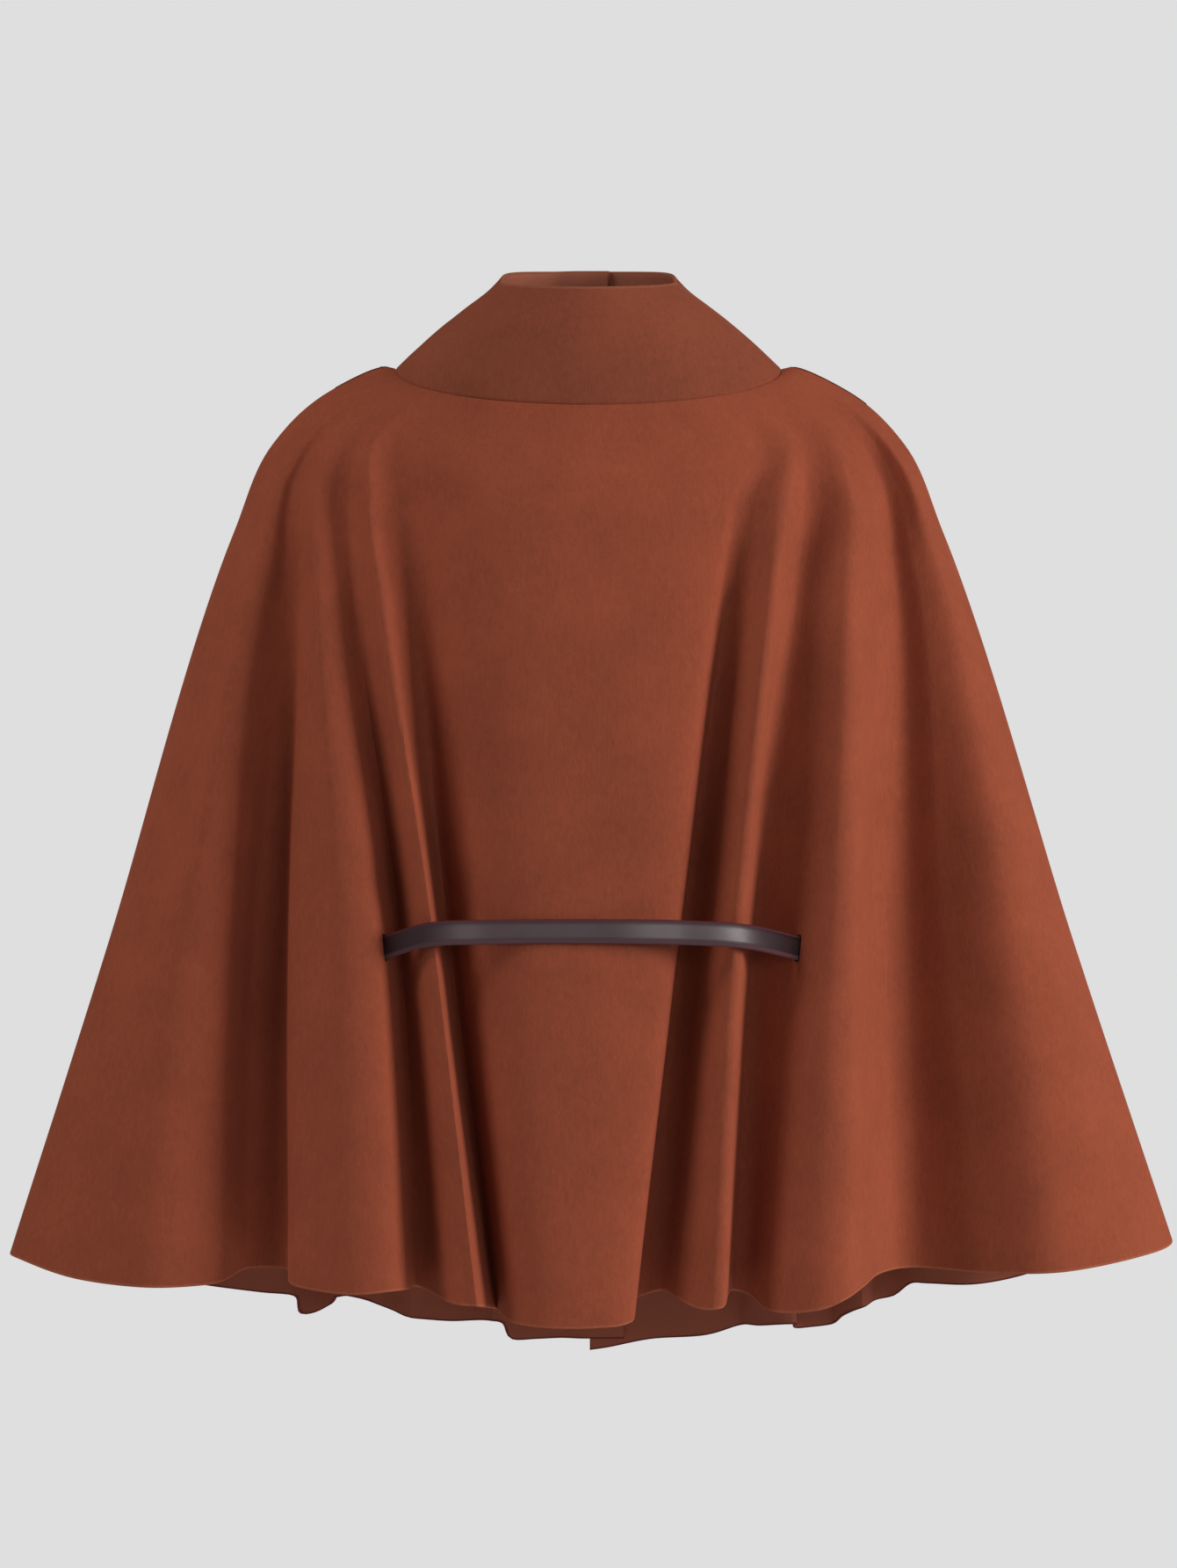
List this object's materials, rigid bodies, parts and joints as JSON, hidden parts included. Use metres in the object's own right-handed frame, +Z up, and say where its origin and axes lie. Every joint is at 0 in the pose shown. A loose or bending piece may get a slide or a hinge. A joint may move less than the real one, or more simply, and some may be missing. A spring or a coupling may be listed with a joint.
{
  "type": "belted cape jacket",
  "caption": "Wool cape jacket, filled out as worn: wide funnel collar, one back and lapped fronts in deep upright folds, slim belt through slits at the waist.",
  "frame": {"origin": "halfway between the two points where the collar seam meets the shoulder lines, where the wearer's shoulders carry the jacket", "axes": "+X to the wearer's right, +Y to the wearer's front, +Z up"},
  "size_m": [0.858, 0.3458, 0.8288],
  "materials": {
    "wool": "felted rust wool, matt with a short nap",
    "collar_wool": "the same felted rust wool, doubled and pressed",
    "belt_leather": "smooth dark brown-black leather with a satin face",
    "buckle_metal": "dark satin metal"
  },
  "bodies": {
    "root": {"back": "wool", "front_left": "wool", "front_right": "wool", "collar": "collar_wool", "belt": "belt_leather", "belt_keeper": "belt_leather", "belt_buckle": "buckle_metal"}
  },
  "joints": []
}
